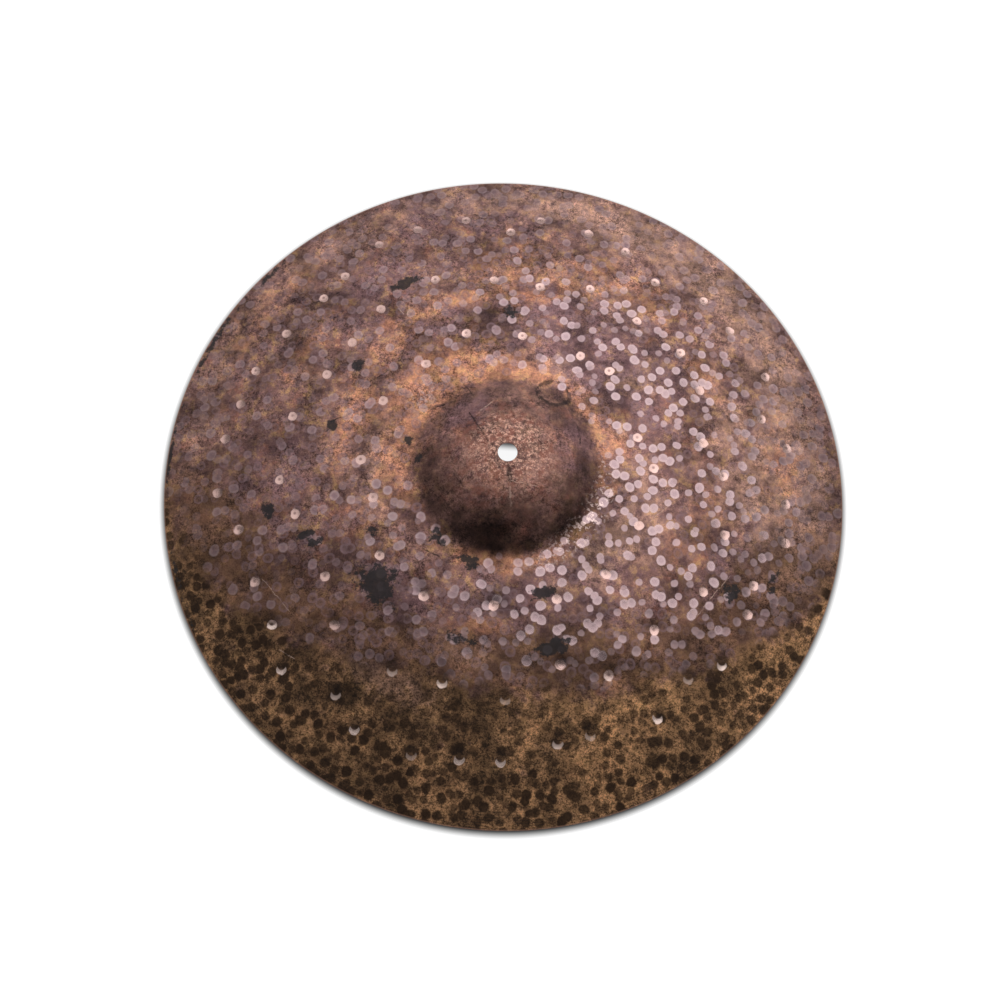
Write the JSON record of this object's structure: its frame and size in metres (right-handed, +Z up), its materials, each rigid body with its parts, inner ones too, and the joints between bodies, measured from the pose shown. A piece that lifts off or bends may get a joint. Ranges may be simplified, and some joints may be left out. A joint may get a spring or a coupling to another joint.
{
  "type": "crash cymbal",
  "caption": "Hand-hammered bronze crash cymbal: a shallow bowed plate with a raised bell, a thin rim and a round centre hole.",
  "frame": {"origin": "centre of the circle that the rim rests on, below the centre hole", "axes": "+Z up through the bell and the centre hole, +X and +Y across the plate"},
  "size_m": [0.4572, 0.4572, 0.0458],
  "materials": {
    "bronze": "unlathed, hand-hammered, dark brown patina with brighter hammer marks"
  },
  "bodies": {
    "root": {"cymbal": "bronze"}
  },
  "joints": []
}
